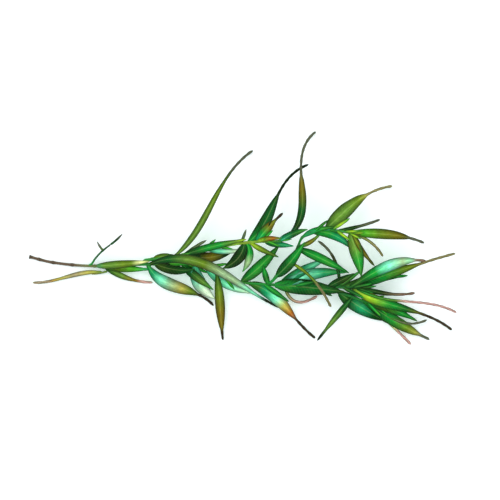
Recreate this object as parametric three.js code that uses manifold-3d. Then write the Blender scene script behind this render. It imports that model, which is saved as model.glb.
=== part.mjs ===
// A cut, branching shoot of French tarragon lying on a flat surface.
//
// Millimetres, +Z up. X runs from the cut end of the main stem (minus) to its leafy tip (plus), and the
// surface that the shoot lies on is Z = 0. Every leafy stem is one solid with the leaves that grow on it.

import * as THREE from 'three';
import { mergeVertices } from 'three/addons/utils/BufferGeometryUtils.js';
import Module from 'manifold-3d';

// Driving dimensions.
const BLADE_THICKNESS = 0.7;
const BLADE_STEP = 7; // length of blade between two of its cross-sections
const BLADE_STEPS = [3, 8]; // fewest and most cross-sections of a blade
const BLADE_FOOT = 0.35; // width of a sessile leaf where it meets the stem, as a share of its full width
const TAIL_WIDTH = 1.2; // width of the dried, rolled-up tip of a leaf
const CHANNEL = 0.22; // rise of a blade's edges above its midrib, as a share of its half width
const WIDEST_AT = 0.38; // where along a blade it is widest, unless the leaf says otherwise
const FULLNESS = 1.6; // the greater, the more a blade narrows away from its widest place
const LOWEST_MIDRIB = 0.2; // a blade that reaches the surface lies along it at this height
const STEM_SIDES = 7;
const STEM_STEPS_PER_SPAN = 3;
const YOUNG_LEAF_ASPECT = 0.17; // width of a young leaf, as a share of its length
const YOUNG_LEAF_ARCH = 0.8;
const YOUNG_LEAF_SHRINK = 0.4; // how much shorter the top young leaf of a stretch is than its lowest
const YOUNG_LEAF_FLATTENING = 0.6; // how far young leaves stand up or down, against how far out sideways
const GOLDEN_ANGLE = THREE.MathUtils.degToRad(137.5); // turn from each leaf round the stem to the next
const REACH = 300; // more than the shoot's length
const SLIVER = 0.004; // edges and slivers narrower than this are merged into the faces beside them
const UP = new THREE.Vector3(0, 0, 1);

// A shoot's path is a list of [x, y, z] points along its stem. In its leaves, "at" counts those points
// from 0, so that 2.5 is half way from the third to the fourth. A leaf runs from there to its tip, bent
// sideways by "bow" and upwards by "arch" at one third and at two thirds of its length. "widest" is the
// share of the blade at which it is widest, and "tail" the share that is only a dried tip. "young" places
// small leaves round the stem between two points of the path, the first of them "turn" degrees round from
// the stem's left side, and leaning away from the stem by "spread" degrees, from the lowest to the top one.
const SHOOTS = [
  {
    name: 'main_shoot',
    colour: '#4e8a35',
    radius: [0.9, 0.55],
    path: [
      [-100, -9, 0.55], [-88, -11.8, 0.55], [-70, -13.3, 1.6], [-45, -12.5, 4.2], [-30, -11.8, 5],
      [-16, -14.2, 5.5], [-4, -20, 5.8], [10, -21.8, 6.2], [30, -22.6, 6.6], [55, -23.5, 7],
    ],
    leaves: [
      { at: 2.04, tip: [-43, -11, 6.9], bow: [-0.4, -0.2], arch: [1.2, 1.2], width: 3.8 },
      { at: 2.15, tip: [-42.6, -14.8, 4.2], bow: [-0.6, -0.6], arch: [0.4, 0.2], width: 3.6 },
      { at: 2.2, tip: [-42, -21, 0.6], bow: [-2, -2.8], arch: [0.6, 0], width: 2.9, tail: 0.2 },
      { at: 3.08, tip: [18.4, -33, 1.2], bow: [18, 1], arch: [27, 3], width: 4.8, tail: 0.12 },
      { at: 3.2, tip: [-22, -14.6, 7.2], bow: [-1.6, -2.4], arch: [0, 0], width: 4.8 },
      {
        at: 3.03, tip: [-13.5, -32, 0.2], bow: [-8, 4], arch: [0.5, 0.5],
        width: 6, tail: 0.22, widest: 0.48,
      },
      { at: 4.1, tip: [-13.4, -24.6, 5], bow: [-1, -0.4], arch: [0.2, 0.2], width: 4.2 },
      { at: 4.55, tip: [-12.2, -29, 2], bow: [-4.2, -3.2], arch: [0.4, 0.4], width: 6.6 },
      {
        at: 5.3, tip: [-9.2, -48.2, 0.2], bow: [1, -0.2], arch: [0, 1],
        width: 4.6, tail: 0.1, widest: 0.5,
      },
      { at: 4.9, tip: [5, -26, 1.6], bow: [-3.4, -3], arch: [-1, -1], width: 4.2 },
      { at: 6.25, tip: [17.6, -3, 6.5], bow: [-1.4, -1.2], arch: [0.8, 0.4], width: 5.4 },
      { at: 7.12, tip: [9.6, -12.6, 7.2], bow: [0.3, 0.3], arch: [0.4, 0.3], width: 3 },
      {
        at: 6.5, tip: [34.2, -47.2, 0.2], bow: [7, -0.6], arch: [3, 1],
        width: 6, tail: 0.28, widest: 0.42,
      },
      { at: 7.26, tip: [48, -25.4, 6.6], bow: [0.6, 0.4], arch: [1, 1], width: 7.4 },
      { at: 7.38, tip: [40, -9.8, 6.8], bow: [0.6, 1.2], arch: [0.6, 0.6], width: 4.6 },
      { at: 7.45, tip: [48.5, -16.4, 6.6], bow: [2.8, 3.2], arch: [0.8, 0.8], width: 5.8 },
      { at: 7.5, tip: [35.3, -27.2, 0.8], bow: [-8.5, -6.5], arch: [-1, -1], width: 1.6, tail: 0.4 },
      { at: 8.62, tip: [35, -1.4, 7], bow: [-4, -5], arch: [0, 0], width: 1.6, tail: 0.3 },
      { at: 8.4, tip: [52.4, -16.6, 7.6], bow: [-0.4, 0], arch: [0.3, 0.3], width: 3.6 },
      { at: 8.66, tip: [99.8, -7.4, 3], bow: [-1.6, 1], arch: [3, 3], width: 5.4, tail: 0.26 },
      {
        at: 8.8, tip: [86, -11, 5.5], bow: [2.8, 7], arch: [4.5, 4.5],
        width: 5.4, tail: 0.1, widest: 0.55,
      },
      { at: 8.72, tip: [77.6, -17.8, 2], bow: [1, 1.2], arch: [0, 0], width: 3.4 },
      { at: 8.97, tip: [80.8, -25.8, 4], bow: [-1.2, -2.8], arch: [1, 1], width: 2.4, tail: 0.2 },
      { at: 8.84, tip: [98.3, -43.4, 0.2], bow: [-3.8, 5], arch: [3.4, 2.6], width: 4.8, tail: 0.28 },
      { at: 8.92, tip: [100.3, -35.2, 2], bow: [-6, 4.6], arch: [4, 3], width: 1.3, tail: 0.5 },
    ],
    young: [
      { from: 3.6, to: 5.6, leaves: 4, length: 14, spread: [34, 24], turn: 100 },
      { from: 7, to: 8.5, leaves: 5, length: 15, spread: [34, 24], turn: 150 },
      { from: 8.6, to: 9, leaves: 6, length: 13, spread: [38, 10] },
    ],
  },
  {
    name: 'upper_side_shoot',
    colour: '#5b9a3a',
    radius: [0.75, 0.5],
    path: [
      [-45.6, -10.6, 4.4], [-31, -8.7, 7.4], [-15, -5.4, 10], [1.6, -2.4, 12.4], [18.5, -1.6, 13.8],
    ],
    leaves: [
      { at: 0.25, tip: [-32, -8, 7], bow: [0.8, 0.4], arch: [0.2, 0.2], width: 2.8 },
      { at: 0.94, tip: [5, 41, 0.2], bow: [-5.6, 7.2], arch: [6, 7], width: 3.2, tail: 0.18 },
      { at: 1.25, tip: [-16.6, -1.2, 10], bow: [0.4, 0.4], arch: [0.6, 0.6], width: 1.5 },
      { at: 1.2, tip: [2, -0.8, 13.2], bow: [0.8, 0.6], arch: [1.4, 1.4], width: 3.6 },
      { at: 1.3, tip: [-3, -5.6, 9.2], bow: [-4.2, -2.2], arch: [-0.6, 0], width: 5 },
      { at: 1.9, tip: [3, -5.6, 10.5], bow: [-1, -1], arch: [-0.4, -0.4], width: 2.6 },
      { at: 2.96, tip: [-9.6, -14.6, 9], bow: [3.6, 2.8], arch: [0.6, 0.6], width: 5.6 },
      { at: 3.02, tip: [-0.2, -16.2, 9.4], bow: [3.2, 2.6], arch: [0, 0], width: 4 },
      { at: 2.85, tip: [1.8, 4, 13.5], bow: [-0.4, 0], arch: [0, 0], width: 1.4 },
      { at: 3.05, tip: [31, 34.2, 5], bow: [-4.6, 9.8], arch: [2, 3], width: 5.4, tail: 0.38 },
      { at: 3.3, tip: [19, 11.6, 11], bow: [0.8, 0.6], arch: [0.5, 0.5], width: 4.8, tail: 0.22 },
      {
        at: 3.98, tip: [34.4, 49.8, 0.2], bow: [-16, 12], arch: [5, 5],
        width: 3.8, tail: 0.36, widest: 0.54,
      },
      { at: 3.1, tip: [17, -9.2, 11.5], bow: [-0.8, -0.4], arch: [0.4, 0.4], width: 2.6 },
      { at: 3.3, tip: [18.4, -0.4, 14.5], bow: [1.2, 0.8], arch: [0.6, 0.6], width: 2.6 },
      { at: 3.5, tip: [24, -4, 13.2], bow: [-0.6, -0.2], arch: [0.2, 0.2], width: 3.2 },
      { at: 3.9, tip: [25, 2.8, 14.6], bow: [0.6, 0.4], arch: [0.2, 0.2], width: 2.6 },
      { at: 3.95, tip: [30.5, 3.8, 15.8], bow: [1.2, 1], arch: [0.4, 0.4], width: 3.4 },
    ],
    young: [
      { from: 1.8, to: 2.8, leaves: 3, length: 8, spread: [30, 24] },
      { from: 3.4, to: 4, leaves: 4, length: 8, spread: [40, 12] },
    ],
  },
  {
    name: 'middle_side_shoot',
    colour: '#3f8a34',
    radius: [0.7, 0.45],
    path: [
      [14.2, -20.1, 7.45], [19, -14, 9.2], [24.8, -6.6, 11.8],
      [28.4, 0.6, 13.8], [38, 3.8, 15.6], [51, 2, 16.4],
    ],
    leaves: [
      { at: 0.3, tip: [29, -2, 14.6], bow: [-1, -1], arch: [1.2, 0.8], width: 5.4 },
      { at: 2.3, tip: [36.6, 2.4, 14.4], bow: [-1.6, -1.4], arch: [0, 0], width: 2.2 },
      { at: 2.9, tip: [43, 4.8, 16.6], bow: [2.2, 1.2], arch: [0.6, 0.6], width: 2.8 },
      { at: 1.4, tip: [41.4, -32.6, 1.4], bow: [4, 3], arch: [7, 12], width: 1.6, tail: 0.4 },
      { at: 2.2, tip: [49.8, -16.6, 10.4], bow: [0.8, 0.4], arch: [1, 0.6], width: 4.4 },
      { at: 3.4, tip: [51.8, -6.2, 12.6], bow: [4.4, 3.6], arch: [0.8, 0.6], width: 4.4 },
      { at: 4.05, tip: [70.4, 24.2, 0.2], bow: [2.1, 6], arch: [2, 2], width: 6.8, tail: 0.28 },
      { at: 4.5, tip: [64, 8.4, 14.4], bow: [-0.8, -0.8], arch: [0.8, 0.8], width: 1.8, tail: 0.2 },
      { at: 4.8, tip: [85, -2.6, 8], bow: [0.9, 3.4], arch: [1.6, 2], width: 4.8, tail: 0.16, widest: 0.5 },
      { at: 4.9, tip: [55.4, -18.6, 11.5], bow: [1.2, 0.8], arch: [0, 0], width: 6.4 },
      { at: 5, tip: [61.6, -13.4, 12.5], bow: [-1.2, -0.8], arch: [0, 0], width: 2.4 },
      { at: 4.96, tip: [65.4, -9, 12.5], bow: [2.4, 2.8], arch: [0.5, 0.5], width: 1.5, tail: 0.3 },
    ],
    young: [
      { from: 3.6, to: 4.2, leaves: 2, length: 8, spread: [24, 20] },
      { from: 4.3, to: 5, leaves: 6, length: 10, spread: [40, 12] },
    ],
  },
  {
    name: 'lower_side_shoot',
    colour: '#2f7d3a',
    radius: [0.6, 0.45],
    path: [[42.4, -24.9, 5.6], [50, -27.2, 5], [57, -29.8, 4.6], [64, -32.6, 4.4]],
    leaves: [
      { at: 0.3, tip: [70, -40.6, 0.2], bow: [-1, -0.8], arch: [-1, -1], width: 6.8, tail: 0.1 },
      {
        at: 1.9, tip: [87.8, -47.8, 0.2], bow: [-0.8, -1.2], arch: [1.6, 1],
        width: 5.6, tail: 0.1, widest: 0.5,
      },
      { at: 2.3, tip: [79, -50.2, 0.2], bow: [-0.2, 0.4], arch: [0, 0], width: 1.7, tail: 0.3 },
      { at: 1.2, tip: [34.9, -48.4, 2], bow: [0, -0.3], arch: [0, 0], width: 3, tail: 0.1 },
      { at: 2, tip: [82, -39.2, 3.6], bow: [1.6, 1.2], arch: [0.6, 0.4], width: 4.4 },
      { at: 2.8, tip: [86.6, -38.4, 2.4], bow: [-4.2, -7], arch: [0, 0], width: 1.2, tail: 0.3 },
    ],
    young: [{ from: 2, to: 3, leaves: 6, length: 10, spread: [36, 12] }],
  },
  {
    name: 'bare_twig',
    colour: '#5f7a4a',
    radius: [0.5, 0.4],
    path: [[-70.5, -12.2, 2.15], [-68.8, -9.6, 3], [-65.6, -6.3, 4.4], [-61.5, -3.1, 5.4]],
    leaves: [
      { at: 2.9, tip: [-56, 1.9, 4.6], bow: [-0.4, -0.3], arch: [0.4, 0.4], width: 1.1 },
      { at: 2.1, tip: [-68, -1.6, 6], bow: [0.3, 0.3], arch: [0.4, 0.2], width: 1.1 },
    ],
    young: [],
  },
  {
    name: 'withered_leaf',
    colour: '#a89a5c',
    radius: [0.5, 0.4],
    path: [[-63.8, -15.9, 1.65], [-67.4, -16.7, 1.2], [-71, -17, 0.9]],
    leaves: [
      { at: 0.5, tip: [-98.6, -21.1, 0.2], bow: [-3.2, 2.2], arch: [0.4, 0.2], width: 2.2, tail: 0.2 },
    ],
    young: [],
  },
];

const wasm = await Module();
wasm.setup();

// A closed surface through rings of points that all turn the same way, with both ends capped. Where
// mirrored(k) holds, the quads beside edge k are split along their other diagonal.
function loft(rings, mirrored = () => false, hub = 0) {
  const sides = rings[0].length;
  const positions = rings.flat().flatMap((point) => point.toArray());
  const index = [];
  for (let ring = 0; ring < rings.length - 1; ring += 1) {
    for (let k = 0; k < sides; k += 1) {
      const [a, b] = [ring * sides + k, ring * sides + ((k + 1) % sides)];
      const [c, d] = [a + sides, b + sides];
      index.push(...(mirrored(k) ? [a, b, c, b, d, c] : [a, b, d, a, d, c]));
    }
  }
  const last = (rings.length - 1) * sides;
  for (let k = 1; k < sides - 1; k += 1) {
    const [b, c] = [(hub + k) % sides, (hub + k + 1) % sides];
    index.push(hub, c, b, last + hub, last + b, last + c);
  }
  const geometry = new THREE.BufferGeometry();
  geometry.setAttribute('position', new THREE.Float32BufferAttribute(positions, 3));
  geometry.setIndex(index);
  return geometry;
}

function toSolid(geometry) {
  const bare = geometry.clone();
  bare.deleteAttribute('normal');
  bare.deleteAttribute('uv');
  const merged = mergeVertices(bare, 1e-5);
  const mesh = new wasm.Mesh({
    numProp: 3,
    vertProperties: new Float32Array(merged.attributes.position.array),
    triVerts: new Uint32Array(merged.index.array),
  });
  return new wasm.Manifold(mesh);
}

function toGeometry(solid) {
  const mesh = solid.getMesh();
  const geometry = new THREE.BufferGeometry();
  geometry.setAttribute('position', new THREE.BufferAttribute(new Float32Array(mesh.vertProperties), 3));
  geometry.setIndex(new THREE.BufferAttribute(new Uint32Array(mesh.triVerts), 1));
  geometry.computeVertexNormals();
  return geometry;
}

// The two directions across a curve: level to its left, and square to both, upwards.
function crossDirections(along) {
  const left = new THREE.Vector3(-along.y, along.x, 0).normalize();
  return { left, over: along.clone().cross(left) };
}

function stemCurve(shoot) {
  const points = shoot.path.map((point) => new THREE.Vector3(...point));
  return new THREE.CatmullRomCurve3(points, false, 'catmullrom', 0.5);
}

function stemPoint(curve, at) {
  return curve.getPoint(at / (curve.points.length - 1));
}

function stemSolid(shoot, curve) {
  const steps = (shoot.path.length - 1) * STEM_STEPS_PER_SPAN;
  const rings = [];
  for (let step = 0; step <= steps; step += 1) {
    const share = step / steps;
    const centre = curve.getPoint(share);
    const { left, over } = crossDirections(curve.getTangent(share));
    const radius = THREE.MathUtils.lerp(shoot.radius[0], shoot.radius[1], share);
    rings.push(Array.from({ length: STEM_SIDES }, (_, side) => {
      const turn = (2 * Math.PI * side) / STEM_SIDES;
      return centre.clone()
        .addScaledVector(left, radius * Math.cos(turn))
        .addScaledVector(over, radius * Math.sin(turn));
    }));
  }
  return toSolid(loft(rings));
}

// Half of a leaf's width at a share of its length: a narrow foot, a long taper to both sides of its widest
// place, and then the dried tail.
function halfWidth(leaf, share) {
  const widest = leaf.widest ?? WIDEST_AT;
  const body = Math.min(share / (1 - (leaf.tail ?? 0)), 1);
  const rise = (body / widest) ** (FULLNESS * widest);
  const fall = ((1 - body) / (1 - widest)) ** (FULLNESS * (1 - widest));
  const foot = body < widest ? BLADE_FOOT : 0;
  return Math.max(leaf.width * Math.max(rise * fall, foot), TAIL_WIDTH) / 2;
}

function leafCurve(foot, leaf) {
  const tip = new THREE.Vector3(...leaf.tip);
  const chord = tip.clone().sub(foot);
  const { left } = crossDirections(chord);
  const handle = (third) => foot.clone()
    .addScaledVector(chord, (third + 1) / 3)
    .addScaledVector(left, leaf.bow[third])
    .addScaledVector(UP, leaf.arch[third]);
  return new THREE.CubicBezierCurve3(foot, handle(0), handle(1), tip);
}

// A thin channelled blade of six corners: left edge, rib and right edge on top, and the same below. Both
// faces are split into triangles alike, so that they never cross.
function leafSolid(foot, leaf) {
  const curve = leafCurve(foot, leaf);
  const steps = THREE.MathUtils.clamp(Math.ceil(curve.getLength() / BLADE_STEP), ...BLADE_STEPS);
  const rings = [];
  for (let step = 0; step <= steps; step += 1) {
    const share = step / steps;
    const centre = curve.getPoint(share);
    centre.z = Math.max(centre.z, LOWEST_MIDRIB);
    const { left, over } = crossDirections(curve.getTangent(share));
    const half = halfWidth(leaf, share);
    const corner = (sideways, face) => centre.clone()
      .addScaledVector(left, sideways * half)
      .addScaledVector(over, Math.abs(sideways) * CHANNEL * half + face * BLADE_THICKNESS / 2);
    rings.push([
      corner(1, 1), corner(0, 1), corner(-1, 1), corner(-1, -1), corner(0, -1), corner(1, -1),
    ]);
  }
  const underside = (k) => k === 3 || k === 4;
  return toSolid(loft(rings, underside, 1));
}

// Small leaves that spiral up a stretch of stem, each shorter and closer to the stem than the one below.
function youngLeaves(curve, stretch) {
  return Array.from({ length: stretch.leaves }, (_, k) => {
    const upwards = k / Math.max(stretch.leaves - 1, 1);
    const at = THREE.MathUtils.lerp(stretch.from, stretch.to, upwards);
    const along = curve.getTangent(at / (curve.points.length - 1));
    const { left, over } = crossDirections(along);
    const turn = THREE.MathUtils.degToRad(stretch.turn ?? 0) + k * GOLDEN_ANGLE;
    const spread = THREE.MathUtils.degToRad(THREE.MathUtils.lerp(...stretch.spread, upwards));
    const length = stretch.length * (1 - YOUNG_LEAF_SHRINK * upwards);
    const outward = left.multiplyScalar(Math.cos(turn))
      .addScaledVector(over, YOUNG_LEAF_FLATTENING * Math.sin(turn));
    const tip = stemPoint(curve, at)
      .addScaledVector(along, length * Math.cos(spread))
      .addScaledVector(outward, length * Math.sin(spread));
    tip.z = Math.max(tip.z, LOWEST_MIDRIB);
    const arch = [YOUNG_LEAF_ARCH, YOUNG_LEAF_ARCH];
    return { at, tip: tip.toArray(), bow: [0, 0], arch, width: length * YOUNG_LEAF_ASPECT };
  });
}

// Everything above the surface, which trims what touches it to a small flat spot.
const aboveSurface = toSolid(new THREE.BoxGeometry(REACH, REACH, REACH).translate(0, 0, REACH / 2));

function shootSolid(shoot) {
  const curve = stemCurve(shoot);
  const leaves = [...shoot.leaves, ...shoot.young.flatMap((stretch) => youngLeaves(curve, stretch))];
  const blades = leaves.map((leaf) => leafSolid(stemPoint(curve, leaf.at), leaf));
  const grown = wasm.Manifold.union([stemSolid(shoot, curve), ...blades]);
  const pieces = grown.intersect(aboveSurface).decompose();
  const whole = pieces.reduce((largest, piece) => (piece.volume() > largest.volume() ? piece : largest));
  return whole.asOriginal().simplify(SLIVER);
}

const tarragon = new THREE.Group();
for (const shoot of SHOOTS) {
  const material = new THREE.MeshStandardMaterial({ color: shoot.colour, roughness: 0.6, metalness: 0 });
  const mesh = new THREE.Mesh(toGeometry(shootSolid(shoot)), material);
  mesh.name = shoot.name;
  tarragon.add(mesh);
}

export default tarragon;
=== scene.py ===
import math
import random

import bmesh
import bpy
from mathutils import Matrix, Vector


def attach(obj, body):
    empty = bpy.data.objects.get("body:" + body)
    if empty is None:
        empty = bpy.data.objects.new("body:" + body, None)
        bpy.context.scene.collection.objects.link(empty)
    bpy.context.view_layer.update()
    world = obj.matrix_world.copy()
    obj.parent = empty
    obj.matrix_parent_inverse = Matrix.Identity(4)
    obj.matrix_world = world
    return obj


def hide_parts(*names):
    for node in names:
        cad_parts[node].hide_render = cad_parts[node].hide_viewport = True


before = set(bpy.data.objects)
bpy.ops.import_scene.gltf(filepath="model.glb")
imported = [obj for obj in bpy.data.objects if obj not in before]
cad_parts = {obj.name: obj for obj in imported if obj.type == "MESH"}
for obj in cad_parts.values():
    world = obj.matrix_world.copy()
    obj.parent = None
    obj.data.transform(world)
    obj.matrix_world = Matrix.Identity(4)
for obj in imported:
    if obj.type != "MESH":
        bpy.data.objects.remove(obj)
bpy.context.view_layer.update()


# The table and the light. A plain white board lies under the shoot, in a bright room with one large soft
# lamp up to the left, and the camera looks straight down on it through a long lens. The board also glows
# faintly cyan, a painted light that makes the shadows round the shoot paler and cyan.

VIEW_WIDTH = 0.2336  # metres across the view, at the height of the leaves
VIEW_CENTRE = (0.0035, -0.0058)  # the point of the board under the camera
LEAF_HEIGHT = 0.006
CAMERA_HEIGHT = 1.5  # over the leaves
BOARD_SIZE = 6

camera = bpy.data.objects.new("camera", bpy.data.cameras.new("camera"))
bpy.context.scene.collection.objects.link(camera)
camera.location = (*VIEW_CENTRE, LEAF_HEIGHT + CAMERA_HEIGHT)
camera.data.lens = camera.data.sensor_width * CAMERA_HEIGHT / VIEW_WIDTH
bpy.context.scene.camera = camera
bpy.context.scene.view_settings.view_transform = "Standard"

room = bpy.data.worlds.new("room")
room.use_nodes = True
daylight = room.node_tree.nodes["Background"]
daylight.inputs["Color"].default_value = (0.93, 0.97, 1, 1)
daylight.inputs["Strength"].default_value = 1
bpy.context.scene.world = room


def hang_lamp(name, place, size, watts, colour):
    """A square soft lamp that points at the middle of the table."""
    lamp = bpy.data.objects.new(name, bpy.data.lights.new(name, "AREA"))
    bpy.context.scene.collection.objects.link(lamp)
    lamp.location = place
    lamp.rotation_euler = (-Vector(place)).to_track_quat("-Z", "Y").to_euler()
    lamp.data.size = size
    lamp.data.energy = watts
    lamp.data.color = colour


hang_lamp("key_lamp", place=(-0.5, 0.45, 0.9), size=0.8, watts=3.5, colour=(1, 0.97, 0.92))
hang_lamp("fill_lamp", place=(0.7, -0.5, 0.8), size=0.8, watts=1.2, colour=(1, 0.97, 0.93))

bm = bmesh.new()
bmesh.ops.create_grid(bm, x_segments=1, y_segments=1, size=BOARD_SIZE / 2)
board_mesh = bpy.data.meshes.new("board")
bm.to_mesh(board_mesh)
bm.free()
board = bpy.data.objects.new("board", board_mesh)
bpy.context.scene.collection.objects.link(board)
board_paint_and_glow = bpy.data.materials.new("board_paint_and_glow")
board_paint_and_glow.use_nodes = True
board_shader = board_paint_and_glow.node_tree.nodes["Principled BSDF"]
board_shader.inputs["Base Color"].default_value = (0.96, 0.96, 0.97, 1)
board_shader.inputs["Roughness"].default_value = 0.9
# Painted light: the board glows faintly cyan, which pales the shadows round the shoot and tints them cyan.
board_shader.inputs["Emission Color"].default_value = (0.7, 1, 1, 1)
board_shader.inputs["Emission Strength"].default_value = 0.2
board_mesh.materials.append(board_paint_and_glow)


# The stem of the main shoot, from its cut end to the tuft at its tip. Its foot is thin brown bark with the
# scars of fallen leaves, and the rest is green and ridged, with a swelling under each leaf. The cut shows
# pale pith in a darker rim. All sizes from here on are in millimetres.

MM = 0.001
SURFACE = 0.02  # what lies on the board stays this far above it
SAME_PLACE = 1e-8  # metres within which two corners are one
STEM_SIDES = 28
STEM_ROW = 0.5  # length of stem between two rings
STEM_RIDGES = 7
RIDGE_SHARE = 0.05  # height of a ridge, as a share of the stem's radius
RIDGE_SHIFT = 9  # how far the wave of the ridges shifts from end to end, in radians, so that they wind
NODE_SHARE = 0.3  # how much thicker the stem is where a leaf grows
NODE_SHADE = 0.3  # how much darker it is there
NODE_LENGTH = 0.9  # how far along the stem both reach
CUT_RINGS = ((0, -0.25), (0.45, -0.18), (0.78, 0), (0.95, 0.03))  # share of the radius, and height
PITH_RINGS = 2
FOOT_RINGS = len(CUT_RINGS)  # a stem that grows from another has as many, from its root up
CUT_SWELLING = 0.4  # how much thicker the stem is at its cut
CUT_STAIN = 0.8  # how far its skin has turned brown there
CUT_LENGTH = 1.6  # how far up from the cut both reach
BARK_EDGE = 0.06  # share of a stem over which bark gives way to green skin

# The colours of bark and pith, of living and fading leaves and of dried tips. Mint and mist are painted
# highlights, a pale sheen laid into the leaves' tones.

TONES = {
    "bark": "#7c6450", "scar": "#3a3020", "pith": "#cfc49b", "fawn": "#98896a", "moss": "#527a26",
    "deep": "#015217", "dark": "#093203", "leaf": "#038728", "fresh": "#3f9c1c", "lime": "#8db31c",
    # mint and mist are painted highlights, a pale sheen on the leaves
    "teal": "#10945c", "mint": "#74dcb0", "pale": "#aed878", "cream": "#e0e69c", "olive": "#587512",
    "bronze": "#655a06", "rust": "#8f500e", "tan": "#a59f46", "straw": "#857f52", "ash": "#5c604a",
    "soot": "#1d2a14", "blush": "#c99c90", "sage": "#8cab7c", "mist": "#c6dcbc",
}

# A stem's path is a list of points, and a place on it is counted along them from 0. A leaf grows "at" such
# a place and ends at its "tip". "bow" and "arch" push its line to the left and up, at the first and second
# third. "width" is its greatest width, and "widest" the share of the blade where that is. "tail" is the
# share of the leaf that is a dried strand, which has the "tail_tone". The "tones" run from the foot to it,
# and their mint and mist stretches are painted highlights.

main_path = [Vector(point) for point in (
    (-100, -9, 0.55), (-88, -11.8, 0.55), (-70, -13.3, 1.6), (-45, -12.5, 4.2), (-30, -11.8, 5),
    (-16, -14.2, 5.5), (-4, -20, 5.8), (10, -21.8, 6.2), (30, -22.6, 6.6), (55, -23.5, 7),
)]
main_radius = (0.64, 0.55)  # at the foot and at the tip
main_scars = (0.42, 0.95, 1.5)  # where leaves have fallen
main_leaves = [
    dict(at=2.04, tip=(-43, -11, 6.9), bow=(-0.4, -0.2), arch=(1.2, 1.2), width=3.8,
         tones="teal moss moss olive olive cream olive"),
    dict(at=2.15, tip=(-42.6, -14.8, 4.2), bow=(-0.6, -0.6), arch=(0.4, 0.2), width=3.6,
         tones="leaf olive fresh teal"),
    dict(at=2.2, tip=(-42, -21, 0.6), bow=(-2, -2.8), arch=(0.6, 0), width=2.9, tail=0.2,
         tones="deep moss rust", tail_tone="blush"),
    dict(at=3.08, tip=(18.4, -33, 1.2), bow=(18, 1), arch=(27, 3), width=4.8, tail=0.12,
         tones="dark deep moss olive sage sage mint mint", tail_tone="soot"),
    dict(at=3.2, tip=(-22, -14.6, 7.2), bow=(-1.6, -2.4), arch=(0, 0), width=4.8,
         tones="dark dark deep"),
    dict(at=3.03, tip=(-13.5, -32, 0.2), bow=(-8, 4), arch=(0.5, 0.5), width=6, tail=0.22, widest=0.48,
         tones="leaf teal mint sage tan olive moss", tail_tone="scar"),
    dict(at=4.1, tip=(-13.4, -24.6, 5), bow=(-1, -0.4), arch=(0.2, 0.2), width=4.2,
         tones="leaf deep moss leaf"),
    dict(at=4.55, tip=(-12.2, -29, 2), bow=(-4.2, -3.2), arch=(0.4, 0.4), width=6.6,
         tones="teal mint mist mist"),
    dict(at=5.3, tip=(-9.2, -48.2, 0.2), bow=(1, -0.2), arch=(0, 1), width=4.6, tail=0.1, widest=0.5,
         tones="deep olive bronze bronze", tail_tone="scar"),
    dict(at=4.9, tip=(5, -26, 1.6), bow=(-3.4, -3), arch=(-1, -1), width=4.2, tones="teal mint mist"),
    dict(at=6.25, tip=(17.6, -3, 6.5), bow=(-1.4, -1.2), arch=(0.8, 0.4), width=5.4,
         tones="deep leaf leaf deep"),
    dict(at=7.12, tip=(9.6, -12.6, 7.2), bow=(0.3, 0.3), arch=(0.4, 0.3), width=3,
         tones="leaf deep leaf deep"),
    dict(at=6.5, tip=(34.2, -47.2, 0.2), bow=(7, -0.6), arch=(3, 1), width=6, tail=0.28, widest=0.42,
         tones="deep deep teal mint tan rust bark", tail_tone="scar"),
    dict(at=7.26, tip=(48, -25.4, 6.6), bow=(0.6, 0.4), arch=(1, 1), width=7.4,
         tones="leaf deep deep dark"),
    dict(at=7.38, tip=(40, -9.8, 6.8), bow=(0.6, 1.2), arch=(0.6, 0.6), width=4.6,
         tones="leaf teal mint"),
    dict(at=7.45, tip=(48.5, -16.4, 6.6), bow=(2.8, 3.2), arch=(0.8, 0.8), width=5.8,
         tones="teal mint teal leaf"),
    dict(at=7.5, tip=(35.3, -27.2, 0.8), bow=(-8.5, -6.5), arch=(-1, -1), width=1.6, tail=0.4,
         tones="moss blush", tail_tone="blush"),
    dict(at=8.62, tip=(35, -1.4, 7), bow=(-4, -5), arch=(0, 0), width=1.6, tail=0.3,
         tones="deep dark scar"),
    dict(at=8.4, tip=(52.4, -16.6, 7.6), bow=(-0.4, 0), arch=(0.3, 0.3), width=3.6,
         tones="deep dark deep"),
    dict(at=8.66, tip=(99.8, -7.4, 3), bow=(-1.6, 1), arch=(3, 3), width=5.4, tail=0.26,
         tones="deep deep leaf olive bronze", tail_tone="straw"),
    dict(at=8.8, tip=(86, -11, 5.5), bow=(2.8, 7), arch=(4.5, 4.5), width=5.4, tail=0.1, widest=0.55,
         tones="deep deep leaf mint sage mint", tail_tone="bark"),
    dict(at=8.72, tip=(77.6, -17.8, 2), bow=(1, 1.2), arch=(0, 0), width=3.4, tones="deep deep leaf"),
    dict(at=8.97, tip=(80.8, -25.8, 4), bow=(-1.2, -2.8), arch=(1, 1), width=2.4, tail=0.2,
         tones="deep dark bark", tail_tone="bark"),
    dict(at=8.84, tip=(98.3, -43.4, 0.2), bow=(-3.8, 5), arch=(3.4, 2.6), width=4.8, tail=0.28,
         tones="moss lime leaf deep bronze", tail_tone="scar"),
    dict(at=8.92, tip=(100.3, -35.2, 2), bow=(-6, 4.6), arch=(4, 3), width=1.3, tail=0.5,
         tones="leaf moss", tail_tone="blush"),
]


def pigment(code):
    """The light that a colour such as '#3f8a26' gives back, as red, green and blue."""
    shares = [int(code[k:k + 2], 16) / 255 for k in (1, 3, 5)]
    return Vector([s / 12.92 if s < 0.04045 else ((s + 0.055) / 1.055) ** 2.4 for s in shares])


PIGMENTS = {name: pigment(code) for name, code in TONES.items()}


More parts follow.
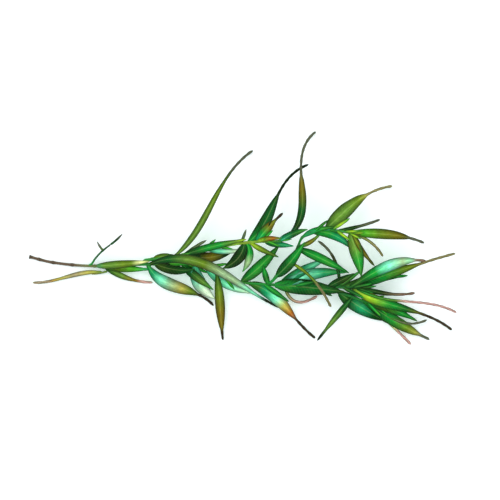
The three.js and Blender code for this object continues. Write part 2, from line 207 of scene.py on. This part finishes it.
def tone_at(words, share):
    """The colour at a share of the way through evenly spaced tones."""
    names = words.split()
    place = min(max(share, 0), 1) * (len(names) - 1)
    first = min(int(place), max(len(names) - 2, 0))
    return PIGMENTS[names[first]].lerp(PIGMENTS[names[min(first + 1, len(names) - 1)]], place - first)


def smooth(share):
    """0 to 1, with a soft start and end."""
    share = min(max(share, 0), 1)
    return share * share * (3 - 2 * share)


def on_curve(points, share):
    """Place and direction at a share of the cubic curve that four points steer."""
    while len(points) > 2:
        points = [a.lerp(b, share) for a, b in zip(points, points[1:])]
    return points[0].lerp(points[1], share), (points[1] - points[0]).normalized()


def on_stem(path, at):
    """Place and direction on the smooth line through a stem's points, at a place counted along them."""
    span = min(int(at), len(path) - 2)
    start, end = path[span], path[span + 1]
    before = path[span - 1] if span else 2 * start - end
    after = path[span + 2] if span + 2 < len(path) else 2 * end - start
    return on_curve([start, start + (end - before) / 6, end - (after - start) / 6, end], at - span)


def cross_directions(onward):
    """The two directions across a line: level to its left, and square to both, upwards."""
    left = Vector((-onward.y, onward.x, 0)).normalized()
    return left, onward.cross(left)


def new_growth():
    """An empty mesh whose corners carry a tone, with dryness as its alpha, and their place on the skin."""
    bm = bmesh.new()
    bm.verts.layers.float_color.new("tone")
    bm.verts.layers.float_vector.new("place")
    return bm


def roll_up(bm, rows, sides, ring):
    """Rolls a flat grid into a closed tube. ring(row) gives each corner's point, tone, dryness and place."""
    tones, places = bm.verts.layers.float_color["tone"], bm.verts.layers.float_vector["place"]
    strip = bmesh.ops.create_grid(bm, x_segments=sides, y_segments=rows, size=0.5)["verts"]
    for row in range(rows + 1):
        corners = strip[row * (sides + 1):(row + 1) * (sides + 1)]
        for corner, (point, tone, dryness, place) in zip(corners, ring(row)):
            point.z = max(point.z, SURFACE)
            corner.co = point * MM
            corner[tones] = (*tone, dryness)
            corner[places] = place
    bmesh.ops.remove_doubles(bm, verts=strip, dist=SAME_PLACE)


def grow_stem(bm, path, radius, nodes, tones, bark=0, root=None):
    """A ridged stem. nodes are the points where leaves grow or grew, and bark is the share of its length
    that is brown and dry. It grows from its root, a point in the stem that bears it, or has a cut foot."""
    length = sum((b - a).length for a, b in zip(path, path[1:]))
    rows = round(length / STEM_ROW) + FOOT_RINGS

    def ring(row):
        share = max(row - FOOT_RINGS, 0) / (rows - FOOT_RINGS)
        centre, onward = on_stem(path, share * (len(path) - 1))
        left, over = cross_directions(onward)
        swelling = min(sum(math.exp(-((centre - node).length / NODE_LENGTH) ** 2) for node in nodes), 1)
        cut = math.exp(-(share * length / CUT_LENGTH) ** 2) if root is None else 0
        taper = min((1 - share) * length / radius[1], 1) ** 0.5
        size = (radius[0] + (radius[1] - radius[0]) * share) * taper
        size *= 1 + NODE_SHARE * swelling + CUT_SWELLING * cut
        tone = tone_at(tones, share).lerp(PIGMENTS["scar"], CUT_STAIN * cut) * (1 - NODE_SHADE * swelling)
        dryness = 1 - smooth((share - bark) / BARK_EDGE) if bark else 0
        if row < FOOT_RINGS and root is None:
            size *= CUT_RINGS[row][0]
            centre = centre - onward * CUT_RINGS[row][1]
            tone = PIGMENTS["pith" if row < PITH_RINGS else "scar"]
        elif row < FOOT_RINGS:
            size *= min(row, 1)
            centre = root.lerp(centre, row / FOOT_RINGS)
        corners = []
        for side in range(STEM_SIDES + 1):
            turn = 2 * math.pi * (side % STEM_SIDES) / STEM_SIDES
            ridge = 1 + RIDGE_SHARE * math.cos(STEM_RIDGES * turn + RIDGE_SHIFT * share)
            outward = left * math.cos(turn) + over * math.sin(turn)
            place = (math.cos(turn), math.sin(turn), share * length)
            corners.append((centre + outward * size * ridge, tone, dryness, place))
        return corners

    roll_up(bm, rows, STEM_SIDES, ring)


def make_piece(bm, name, finish):
    """The grown mesh as a smooth object with its finish, all its faces pointing out."""
    bmesh.ops.recalc_face_normals(bm, faces=bm.faces)
    mesh = bpy.data.meshes.new(name)
    bm.to_mesh(mesh)
    bm.free()
    mesh.shade_smooth()
    mesh.materials.append(finish)
    piece = bpy.data.objects.new(name, mesh)
    bpy.context.scene.collection.objects.link(piece)
    return piece


class Thread:
    """One socket of a finish. Sums written with it add the finish's Math nodes."""

    def __init__(self, tree, socket=None):
        self.tree = tree
        self.socket = socket

    def node(self, kind, inputs, output=0, **settings):
        """Adds any node, sets it up, fills or links its inputs, and gives one of its outputs."""
        added = self.tree.nodes.new("ShaderNode" + kind)
        for name, value in settings.items():
            setattr(added, name, value)
        for key, value in inputs.items():
            if isinstance(value, Thread):
                self.tree.links.new(value.socket, added.inputs[key])
            else:
                added.inputs[key].default_value = value
        return Thread(self.tree, added.outputs[output])

    def maths(self, operation, *values):
        """Adds a Math node on these values."""
        return self.node("Math", dict(enumerate(values)), operation=operation)

    def __add__(self, other):
        return self.maths("ADD", self, other)

    def __sub__(self, other):
        return self.maths("SUBTRACT", self, other)

    def __rsub__(self, other):
        return self.maths("SUBTRACT", other, self)

    def __mul__(self, other):
        return self.maths("MULTIPLY", self, other)

    def __pow__(self, other):
        return self.maths("POWER", self, other)

    def __abs__(self):
        return self.maths("ABSOLUTE", self)

    __radd__ = __add__
    __rmul__ = __mul__

    def between(self, low, high):
        """0 at low and 1 at high, and clamped beyond them."""
        return self.node("MapRange", {"Value": self, "From Min": low, "From Max": high})

    def towards(self, colour, share):
        """This colour blended with another."""
        return self.node("Mix", {0: share, 6: self, 7: colour}, output=2, data_type="RGBA")

    def stretched(self, sizes):
        """This vector times three numbers."""
        return self.node("VectorMath", {0: self, 1: sizes}, operation="MULTIPLY")

    def shaded(self, strength):
        """This colour made darker or brighter."""
        return self.node("VectorMath", {0: self, "Scale": strength}, operation="SCALE")

    def cloud(self, scale, detail=3):
        """A soft random pattern at this place, 0 to 1."""
        return self.node("TexNoise", {"Vector": self, "Scale": scale, "Detail": detail}, output="Fac")


def start_finish(name):
    """A new material, and the threads that bring it each corner's tone, dryness and place."""
    material = bpy.data.materials.new(name)
    material.use_nodes = True
    start = Thread(material.node_tree)
    tone = start.node("Attribute", {}, output="Color", attribute_name="tone")
    dryness = start.node("Attribute", {}, output="Alpha", attribute_name="tone")
    place = start.node("Attribute", {}, output="Vector", attribute_name="place")
    return material, tone, dryness, place


def settle_finish(material, colour, roughness, coat, height, depth, constants):
    """Feeds the material's shader, with a bump as deep as height times depth in millimetres."""
    shader = material.node_tree.nodes["Principled BSDF"]
    bump = colour.node("Bump", {"Height": height, "Distance": depth * MM})
    feeds = {"Base Color": colour, "Roughness": roughness, "Coat Weight": coat, "Normal": bump}
    for key, value in feeds.items():
        material.node_tree.links.new(value.socket, shader.inputs[key])
    for key, value in constants.items():
        shader.inputs[key].default_value = value


# The stem's skin has fine fibres along it, lighter and darker patches and pale specks, and its bark is
# cracked lengthwise. A place on it is the turn round the stem, as cosine and sine, and the distance up it.

SKIN_DEPTH = 0.12  # how far a height of 1 stands out of a skin

stem_finish, skin_tone, bark_share, skin_place = start_finish("stem_skin")
fibres = skin_place.stretched((1.6, 1.6, 0.25)).cloud(2.4, detail=5)
patches = skin_place.stretched((0.5, 0.5, 0.16)).cloud(1.3)
specks = skin_place.stretched((1, 1, 0.7)).cloud(5, detail=2).between(0.62, 0.7)
cracks = skin_place.stretched((2.6, 2.6, 0.18)).cloud(2.2, detail=6).between(0.56, 0.44) * bark_share
skin_colour = skin_tone.shaded(0.55 + 0.55 * fibres + 0.4 * patches)
skin_colour = skin_colour.towards((*PIGMENTS["soot"], 1), 0.55 * cracks)
skin_colour = skin_colour.towards((*PIGMENTS["cream"], 1), 0.25 * specks)
settle_finish(
    stem_finish,
    skin_colour,
    roughness=0.42 + 0.15 * fibres + 0.25 * bark_share,
    coat=0.1 - 0.1 * bark_share,
    height=fibres - 0.8 * cracks + 0.3 * specks,
    depth=SKIN_DEPTH,
    constants={"Coat Roughness": 0.35, "Specular IOR Level": 0.25},
)

main_tones = "bark bark bark moss leaf olive leaf leaf fresh leaf leaf deep leaf"
main_nodes = [on_stem(main_path, at)[0] for at in (*main_scars, *(leaf["at"] for leaf in main_leaves))]

bm = new_growth()
grow_stem(bm, main_path, main_radius, main_nodes, main_tones, bark=0.16)
main_stem = make_piece(bm, "main_stem", stem_finish)
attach(main_stem, "root")
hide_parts("main_shoot")


# The leaves of the main shoot. Each is a thin, long blade, channelled along a midrib that is a groove above
# and a keel below. It grows straight from the stem on a narrow foot, and its tip dries to a kinked strand.

UP = Vector((0, 0, 1))
LEAF_ROW = 0.7  # length of leaf between two rings
FEWEST_ROWS = 10
HALF_COLUMNS = (0, 0.05, 0.12, 0.26, 0.45, 0.66, 0.84, 0.95, 1)  # from the midrib out to the margin
COLUMNS = [-column for column in reversed(HALF_COLUMNS[1:])] + list(HALF_COLUMNS)
SECTION = [(column, 1) for column in COLUMNS] + [(column, -1) for column in reversed(COLUMNS[:-1])]
LOWEST_MIDRIB = 0.2  # no midrib runs closer to the board
WIDEST_AT = 0.38  # share of the blade at which a leaf is widest, where its list doesn't say
FULLNESS = 1.6  # more makes the blade narrower towards both its ends
FOOT_SHARE = 0.35  # width of a leaf's foot, as a share of its greatest width
FOOT_LENGTH = 5
FOOT_THICKNESS = 0.75
BLADE_THICKNESS = 0.34
BLADE_EDGE = 8  # more makes the margin of a blade squarer
STRAND_EDGE = 2  # which makes a dried strand round
STRAND_SHARE = 0.7  # thickness of a dried strand, as a share of its width
TAIL_WIDTH = 1.4  # of a dried strand, and the least of a blade, where the leaf isn't narrower still
DRYING = 0.12  # share of a leaf over which it dries
POINT_LENGTH = 2.5
POINT_CURVE = 0.6  # less makes the point blunter
STRAND_BLUNTNESS = 0.6  # how much shorter the point of a dried strand is
CHANNEL = 0.22  # how high the margins stand over the midrib, as a share of half the blade's width
CHANNEL_CURVE = 1.3  # 1 makes the channel a V, and 2 makes it round
RIB_WIDTH = 0.26  # how far the midrib reaches to either side
GROOVE = 0.1  # depth of the midrib above
KEEL = 0.2  # and its height below
WAVE = 0.09  # height of the waves in the margins, as a share of the blade's width
WAVE_PITCH = (0.32, 0.6)  # least and most turn of a wave, in radians a millimetre
WAVE_LAG = 1.7  # how far the waves of a margin are out of step with the midrib, in radians
TWIST = math.radians(14)  # the most that a blade turns from foot to tip
KINK = math.radians(50)  # how far a dried strand turns to and fro
KINK_PITCH = 0.8  # in radians a millimetre
BRIGHTNESS = (0.88, 1.12)  # of the dullest and the brightest leaf
GOLDEN_ANGLE = math.radians(137.5)  # from one young leaf to the next, round the stem
YOUNG_ASPECT = 0.17  # width of a young leaf, as a share of its length
YOUNG_ARCH = 0.8
YOUNG_SHRINK = 0.4  # how much shorter the top young leaf of a stretch is than its lowest
YOUNG_FLATTENING = 0.6  # how far young leaves stand up or down, against how far out sideways


def half_width(leaf, share):
    """Half of a leaf's width at a share of its length."""
    widest = leaf.get("widest", WIDEST_AT)
    body = min(share / (1 - leaf.get("tail", 0)), 1)
    rise = (body / widest) ** (FULLNESS * widest)
    fall = ((1 - body) / (1 - widest)) ** (FULLNESS * (1 - widest))
    foot = FOOT_SHARE if body < widest else 0
    return max(leaf["width"] * max(rise * fall, foot), min(TAIL_WIDTH, leaf["width"])) / 2


def grow_leaf(bm, path, leaf, chance):
    """One leaf on a stem, from its foot to its tip. chance gives it its own brightness, twist and waves."""
    foot, tip = on_stem(path, leaf["at"])[0], Vector(leaf["tip"])
    left = cross_directions((tip - foot).normalized())[0]
    pushes = enumerate(zip(leaf["bow"], leaf["arch"]), start=1)
    thirds = [foot.lerp(tip, third / 3) + left * bow + UP * arch for third, (bow, arch) in pushes]
    spine = [foot, *thirds, tip]
    length = sum((b - a).length for a, b in zip(spine, spine[1:]))
    rows = max(round(length / LEAF_ROW), FEWEST_ROWS)
    tail = leaf.get("tail", 0)
    tones, tail_tone = leaf["tones"], PIGMENTS[leaf.get("tail_tone", "ash")]
    brightness = chance.uniform(*BRIGHTNESS)
    twist = chance.uniform(-TWIST, TWIST)
    pitch, start = chance.uniform(*WAVE_PITCH), chance.uniform(0, 2 * math.pi)

    def ring(row):
        share = row / rows
        from_foot, from_tip = share * length, (1 - share) * length
        centre, onward = on_curve(spine, share)
        centre.z = max(centre.z, LOWEST_MIDRIB)
        left, over = cross_directions(onward)
        dried = smooth((share - 1 + tail) / DRYING + 1) if tail else 0
        point = POINT_LENGTH * (1 - STRAND_BLUNTNESS * dried)
        closed = 0 if row in (0, rows) else min(from_tip / point, 1) ** POINT_CURVE
        half = half_width(leaf, share) * closed
        turn = twist * share + KINK * dried * math.sin(from_foot * KINK_PITCH + start)
        sideways = left * math.cos(turn) + over * math.sin(turn)
        facing = over * math.cos(turn) - left * math.sin(turn)
        opened = smooth(from_foot / FOOT_LENGTH)
        blade = BLADE_THICKNESS + (FOOT_THICKNESS - BLADE_THICKNESS) * (1 - opened)
        thickness = (blade * (1 - dried) + 2 * half * STRAND_SHARE * dried) * closed
        edge = BLADE_EDGE + (STRAND_EDGE - BLADE_EDGE) * dried
        tone = tone_at(tones, share / (1 - tail)).lerp(tail_tone, dried) * brightness
        corners = []
        for column, face in SECTION:
            side = abs(column)
            rib = (1 - dried) * closed * math.exp(-(column * half / RIB_WIDTH) ** 2)
            lift = CHANNEL * half * side ** CHANNEL_CURVE * (1 - dried)
            wave = WAVE * 2 * half * side ** 2 * math.sin(from_foot * pitch + start + WAVE_LAG * column)
            lift += wave * (1 - dried) * opened
            lift += face * thickness / 2 * (1 - side ** edge) ** 0.5
            lift -= (GROOVE if face > 0 else KEEL) * rib
            place = (column, from_foot, face * (side < 1))
            corners.append((centre + sideways * column * half + facing * lift, tone, dried, place))
        return corners

    roll_up(bm, rows, len(SECTION) - 1, ring)


def young_leaves(path, start, end, count, length, spread, turn=0, tones="fresh leaf"):
    """Small leaves that wind up a stretch of stem, each shorter and closer to it than the one below. spread
    is how far the first and the last lean away from the stem, and turn is where the first one stands round
    it, all in degrees."""
    leaves = []
    for k in range(count):
        upwards = k / max(count - 1, 1)
        at = start + (end - start) * upwards
        place, onward = on_stem(path, at)
        left, over = cross_directions(onward)
        angle = math.radians(turn) + k * GOLDEN_ANGLE
        lean = math.radians(spread[0] + (spread[1] - spread[0]) * upwards)
        size = length * (1 - YOUNG_SHRINK * upwards)
        outward = left * math.cos(angle) + over * YOUNG_FLATTENING * math.sin(angle)
        tip = place + (onward * math.cos(lean) + outward * math.sin(lean)) * size
        tip.z = max(tip.z, LOWEST_MIDRIB)
        arch = (YOUNG_ARCH, YOUNG_ARCH)
        leaves.append(dict(at=at, tip=tip, bow=(0, 0), arch=arch, width=size * YOUNG_ASPECT, tones=tones))
    return leaves


# The skin of a leaf is streaked along its length and finely flecked, with slanting veins, a pale midrib and
# tiny glands, and it is paler below. Its colour is painted brighter along its middle, a painted highlight,
# and darker at its margins, a painted shade. A place on it is how far out from the midrib it is, its
# distance from the leaf's foot, and which face it is on. The flecks, blotches and glands follow the plant's
# own points instead, which Blender counts in metres.

VEIN_PITCH = 4.2  # in radians a millimetre
VEIN_SLANT = 9.2  # how far the veins run on from the midrib to the margin, in radians

leaf_finish, leaf_tone, dryness, leaf_place = start_finish("leaf_skin")
across, along, face = [leaf_place.node("SeparateXYZ", {0: leaf_place}, output=k) for k in range(3)]
side = abs(across)
alive = 1 - dryness
leaf_points = leaf_place.node("TexCoord", {}, output="Object")
streaks = leaf_place.stretched((4, 0.22, 0.6)).cloud(1.6, detail=4).between(0.32, 0.68)
flecks = leaf_points.cloud(420, detail=4)
blotches = leaf_points.cloud(120, detail=2).between(0.5, 0.66)
glands = leaf_points.cloud(3800, detail=1).between(0.6, 0.7)
# Painted shade darkens the blade towards its margins, and a painted highlight brightens its middle.
margin = side.between(0.55, 1) ** 1.5 * (1 - 0.6 * dryness)
painted_highlight = side.between(0.6, 0) * (1 - 0.5 * dryness)
midrib = side.between(0.13, 0.02) * alive
veins = leaf_place.maths("SINE", VEIN_PITCH * along - VEIN_SLANT * side).between(0.75, 1) * alive
leaf_colour = leaf_tone.shaded(0.5 + 0.55 * streaks + 0.45 * flecks)
leaf_colour = leaf_colour.towards((*PIGMENTS["olive"], 1), 0.18 * blotches * alive)
# The painted highlight along the middle and the painted shade at the margins, laid into the leaf's colour.
leaf_colour = leaf_colour.shaded(0.84 + 0.9 * painted_highlight - 0.76 * margin)
leaf_colour = leaf_colour.towards((*PIGMENTS["cream"], 1), 0.12 * midrib)
leaf_colour = leaf_colour.towards((*PIGMENTS["pale"], 1), 0.25 * face.between(0, -1) + 0.05 * veins)
settle_finish(
    leaf_finish,
    leaf_colour,
    roughness=0.42 + 0.2 * flecks + 0.25 * dryness,
    coat=0.04 * alive,
    height=0.5 * streaks + 0.35 * veins - 0.3 * midrib + 0.2 * glands + 0.4 * flecks * dryness,
    depth=SKIN_DEPTH,
    constants={"Coat Roughness": 0.3, "Specular IOR Level": 0.08},
)

SEED = 11
chance = random.Random(SEED)

bm = new_growth()
for leaf in main_leaves:
    grow_leaf(bm, main_path, leaf, chance)
main_shoot_leaves = make_piece(bm, "main_shoot_leaves", leaf_finish)
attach(main_shoot_leaves, "root")
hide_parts("main_shoot")

bm = new_growth()
for leaf in (
    *young_leaves(main_path, 3.6, 5.6, count=4, length=14, spread=(34, 24), turn=100),
    *young_leaves(main_path, 7, 8.5, count=5, length=15, spread=(34, 24), turn=150, tones="leaf deep"),
    *young_leaves(main_path, 8.6, 9, count=6, length=13, spread=(38, 10), tones="deep deep leaf"),
):
    grow_leaf(bm, main_path, leaf, chance)
main_shoot_tuft = make_piece(bm, "main_shoot_tuft", leaf_finish)
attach(main_shoot_tuft, "root")
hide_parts("main_shoot")


# The upper side shoot, which grows from the main stem a third of the way up and rises over it. It bears
# three very long and narrow leaves, which arch out and down and dry to grey or black strands.

upper_path = [Vector(point) for point in (
    (-45.6, -10.6, 4.4), (-31, -8.7, 7.4), (-15, -5.4, 10), (1.6, -2.4, 12.4), (18.5, -1.6, 13.8),
)]
upper_radius = (0.75, 0.5)
upper_root = on_stem(main_path, 2.86)[0]
upper_leaves = [
    dict(at=0.25, tip=(-32, -8, 7), bow=(0.8, 0.4), arch=(0.2, 0.2), width=2.8, tones="olive moss deep"),
    dict(at=0.94, tip=(5, 41, 0.2), bow=(-5.6, 7.2), arch=(6, 7), width=3.2, tail=0.18,
         tones="moss moss olive dark", tail_tone="ash"),
    dict(at=1.25, tip=(-16.6, -1.2, 10), bow=(0.4, 0.4), arch=(0.6, 0.6), width=1.5, tones="deep ash"),
    dict(at=1.2, tip=(2, -0.8, 13.2), bow=(0.8, 0.6), arch=(1.4, 1.4), width=3.6,
         tones="deep deep leaf leaf moss lime"),
    dict(at=1.3, tip=(-3, -5.6, 9.2), bow=(-4.2, -2.2), arch=(-0.6, 0), width=5,
         tones="deep dark bronze dark deep"),
    dict(at=1.9, tip=(3, -5.6, 10.5), bow=(-1, -1), arch=(-0.4, -0.4), width=2.6,
         tones="teal mint mist mint"),
    dict(at=2.96, tip=(-9.6, -14.6, 9), bow=(3.6, 2.8), arch=(0.6, 0.6), width=5.6,
         tones="deep dark dark deep"),
    dict(at=3.02, tip=(-0.2, -16.2, 9.4), bow=(3.2, 2.6), arch=(0, 0), width=4,
         tones="leaf leaf sage leaf"),
    dict(at=2.85, tip=(1.8, 4, 13.5), bow=(-0.4, 0), arch=(0, 0), width=1.4, tones="deep ash"),
    dict(at=3.05, tip=(31, 34.2, 5), bow=(-4.6, 9.8), arch=(2, 3), width=5.4, tail=0.38,
         tones="leaf deep deep dark", tail_tone="soot"),
    dict(at=3.3, tip=(19, 11.6, 11), bow=(0.8, 0.6), arch=(0.5, 0.5), width=4.8, tail=0.22,
         tones="teal leaf bronze olive", tail_tone="scar"),
    dict(at=3.98, tip=(34.4, 49.8, 0.2), bow=(-16, 12), arch=(5, 5), width=3.8, tail=0.36, widest=0.54,
         tones="teal dark deep bronze bronze", tail_tone="ash"),
    dict(at=3.1, tip=(17, -9.2, 11.5), bow=(-0.8, -0.4), arch=(0.4, 0.4), width=2.6,
         tones="lime olive deep"),
    dict(at=3.3, tip=(18.4, -0.4, 14.5), bow=(1.2, 0.8), arch=(0.6, 0.6), width=2.6,
         tones="lime olive rust leaf"),
    dict(at=3.5, tip=(24, -4, 13.2), bow=(-0.6, -0.2), arch=(0.2, 0.2), width=3.2, tones="deep teal"),
    dict(at=3.9, tip=(25, 2.8, 14.6), bow=(0.6, 0.4), arch=(0.2, 0.2), width=2.6, tones="teal mint"),
    dict(at=3.95, tip=(30.5, 3.8, 15.8), bow=(1.2, 1), arch=(0.4, 0.4), width=3.4,
         tones="teal deep leaf"),
]
upper_nodes = [on_stem(upper_path, leaf["at"])[0] for leaf in upper_leaves]

bm = new_growth()
grow_stem(bm, upper_path, upper_radius, upper_nodes, "leaf fresh fresh lime leaf", root=upper_root)
upper_stem = make_piece(bm, "upper_side_stem", stem_finish)
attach(upper_stem, "root")
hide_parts("upper_side_shoot")

bm = new_growth()
for leaf in (
    *upper_leaves,
    *young_leaves(upper_path, 1.8, 2.8, count=3, length=8, spread=(30, 24)),
    *young_leaves(upper_path, 3.4, 4, count=4, length=8, spread=(40, 12)),
):
    grow_leaf(bm, upper_path, leaf, chance)
upper_shoot_leaves = make_piece(bm, "upper_side_leaves", leaf_finish)
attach(upper_shoot_leaves, "root")
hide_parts("upper_side_shoot")


# The middle side shoot, which grows from the main stem three quarters of the way up, climbs to the highest
# point of the plant and bends over there. Broad leaves fan out from its tip, some of them fading to yellow.

middle_path = [Vector(point) for point in (
    (14.2, -20.1, 7.45), (19, -14, 9.2), (24.8, -6.6, 11.8), (28.4, 0.6, 13.8), (38, 3.8, 15.6),
    (51, 2, 16.4),
)]
middle_radius = (0.7, 0.45)
middle_root = on_stem(main_path, 7.1)[0]
middle_leaves = [
    dict(at=0.3, tip=(29, -2, 14.6), bow=(-1, -1), arch=(1.2, 0.8), width=5.4,
         tones="deep deep leaf leaf"),
    dict(at=2.3, tip=(36.6, 2.4, 14.4), bow=(-1.6, -1.4), arch=(0, 0), width=2.2,
         tones="leaf bronze leaf"),
    dict(at=2.9, tip=(43, 4.8, 16.6), bow=(2.2, 1.2), arch=(0.6, 0.6), width=2.8,
         tones="teal leaf deep"),
    dict(at=1.4, tip=(41.4, -32.6, 1.4), bow=(4, 3), arch=(7, 12), width=1.6, tail=0.4,
         tones="lime olive moss", tail_tone="straw"),
    dict(at=2.2, tip=(49.8, -16.6, 10.4), bow=(0.8, 0.4), arch=(1, 0.6), width=4.4,
         tones="deep leaf leaf deep"),
    dict(at=3.4, tip=(51.8, -6.2, 12.6), bow=(4.4, 3.6), arch=(0.8, 0.6), width=4.4,
         tones="leaf leaf teal deep"),
    dict(at=4.05, tip=(70.4, 24.2, 0.2), bow=(2.1, 6), arch=(2, 2), width=6.8, tail=0.28,
         tones="deep moss moss olive tan", tail_tone="straw"),
    dict(at=4.5, tip=(64, 8.4, 14.4), bow=(-0.8, -0.8), arch=(0.8, 0.8), width=1.8, tail=0.2,
         tones="deep dark ash"),
    dict(at=4.8, tip=(85, -2.6, 8), bow=(0.9, 3.4), arch=(1.6, 2), width=4.8, tail=0.16, widest=0.5,
         tones="lime fresh olive bronze dark", tail_tone="ash"),
    dict(at=4.9, tip=(55.4, -18.6, 11.5), bow=(1.2, 0.8), arch=(0, 0), width=6.4,
         tones="moss moss leaf deep"),
    dict(at=5, tip=(61.6, -13.4, 12.5), bow=(-1.2, -0.8), arch=(0, 0), width=2.4,
         tones="olive bronze dark"),
    dict(at=4.96, tip=(65.4, -9, 12.5), bow=(2.4, 2.8), arch=(0.5, 0.5), width=1.5, tail=0.3,
         tones="olive straw", tail_tone="straw"),
]
middle_nodes = [on_stem(middle_path, leaf["at"])[0] for leaf in middle_leaves]

bm = new_growth()
grow_stem(bm, middle_path, middle_radius, middle_nodes, "leaf leaf deep leaf teal fresh", root=middle_root)
middle_stem = make_piece(bm, "middle_side_stem", stem_finish)
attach(middle_stem, "root")
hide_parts("middle_side_shoot")

bm = new_growth()
for leaf in (
    *middle_leaves,
    *young_leaves(middle_path, 3.6, 4.2, count=2, length=8, spread=(24, 20), tones="leaf deep"),
    *young_leaves(middle_path, 4.3, 5, count=6, length=10, spread=(40, 12), tones="leaf lime leaf"),
):
    grow_leaf(bm, middle_path, leaf, chance)
middle_shoot_leaves = make_piece(bm, "middle_side_leaves", leaf_finish)
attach(middle_shoot_leaves, "root")
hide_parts("middle_side_shoot")


# The lower side shoot, a short one that grows from the main stem near its tip and lies low under it. Its
# lowest leaf is one of the broadest of the plant, and the tips of three of its leaves touch the board.

lower_path = [Vector(point) for point in (
    (42.4, -24.9, 5.6), (50, -27.2, 5), (57, -29.8, 4.6), (64, -32.6, 4.4),
)]
lower_radius = (0.6, 0.45)
lower_root = on_stem(main_path, 8.4)[0]
lower_leaves = [
    dict(at=0.3, tip=(70, -40.6, 0.2), bow=(-1, -0.8), arch=(-1, -1), width=6.8, tail=0.1,
         tones="deep deep teal deep dark", tail_tone="dark"),
    dict(at=1.9, tip=(87.8, -47.8, 0.2), bow=(-0.8, -1.2), arch=(1.6, 1), width=5.6, tail=0.1, widest=0.5,
         tones="leaf deep leaf olive tan", tail_tone="ash"),
    dict(at=2.3, tip=(79, -50.2, 0.2), bow=(-0.2, 0.4), arch=(0, 0), width=1.7, tail=0.3,
         tones="olive cream", tail_tone="blush"),
    dict(at=1.2, tip=(34.9, -48.4, 2), bow=(0, -0.3), arch=(0, 0), width=3, tail=0.1,
         tones="deep deep moss dark", tail_tone="soot"),
    dict(at=2, tip=(82, -39.2, 3.6), bow=(1.6, 1.2), arch=(0.6, 0.4), width=4.4,
         tones="leaf moss leaf deep"),
    dict(at=2.8, tip=(86.6, -38.4, 2.4), bow=(-4.2, -7), arch=(0, 0), width=1.2, tail=0.3,
         tones="moss ash"),
]
lower_nodes = [on_stem(lower_path, leaf["at"])[0] for leaf in lower_leaves]

bm = new_growth()
grow_stem(bm, lower_path, lower_radius, lower_nodes, "deep leaf leaf", root=lower_root)
lower_stem = make_piece(bm, "lower_side_stem", stem_finish)
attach(lower_stem, "root")
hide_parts("lower_side_shoot")

bm = new_growth()
for leaf in (
    *lower_leaves,
    *young_leaves(lower_path, 2, 3, count=6, length=10, spread=(36, 12), tones="leaf leaf fresh"),
):
    grow_leaf(bm, lower_path, leaf, chance)
lower_shoot_leaves = make_piece(bm, "lower_side_leaves", leaf_finish)
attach(lower_shoot_leaves, "root")
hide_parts("lower_side_shoot")


# The bare twig near the foot of the stem, the rest of a side shoot whose leaves have fallen. It is a thin
# green wand that grows from the main stem, with two dry stubs, and it swells where the lower one stands.

twig_path = [Vector(point) for point in (
    (-70.5, -12.2, 2.15), (-68.8, -9.6, 3), (-65.6, -6.3, 4.4), (-61.5, -3.1, 5.4),
)]
twig_radius = (0.5, 0.4)
twig_root = on_stem(main_path, 1.89)[0]
twig_stubs = [
    dict(at=2.9, tip=(-56, 1.9, 4.6), bow=(-0.4, -0.3), arch=(0.4, 0.4), width=1.1,
         tones="deep dark ash"),
    dict(at=2.1, tip=(-68, -1.6, 6), bow=(0.3, 0.3), arch=(0.4, 0.2), width=1.1, tones="moss ash ash"),
]
twig_node = on_stem(twig_path, twig_stubs[1]["at"])[0]

bm = new_growth()
grow_stem(bm, twig_path, twig_radius, [twig_node], "leaf deep deep dark", root=twig_root)
for stub in twig_stubs:
    grow_leaf(bm, twig_path, stub, chance)
twig = make_piece(bm, "twig", stem_finish)
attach(twig, "root")
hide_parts("bare_twig")


# The withered leaf at the foot of the leafy part, which has dried to the colour of straw and hangs down to
# the board on what is left of its stalk.

withered_path = [Vector(point) for point in (
    (-63.8, -15.9, 1.65), (-67.4, -16.7, 1.2), (-71, -17, 0.9),
)]
withered_radius = (0.5, 0.4)
withered_root = on_stem(main_path, 2.34)[0]
withered_blade = dict(
    at=0.5, tip=(-98.6, -21.1, 0.2), bow=(-3.2, 2.2), arch=(0.4, 0.2), width=2.2, tail=0.2,
    tones="moss tan fawn tan rust", tail_tone="fawn",
)

bm = new_growth()
grow_stem(bm, withered_path, withered_radius, [], "moss tan", root=withered_root)
grow_leaf(bm, withered_path, withered_blade, chance)
withered_leaf = make_piece(bm, "dry_leaf", leaf_finish)
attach(withered_leaf, "root")
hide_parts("withered_leaf")
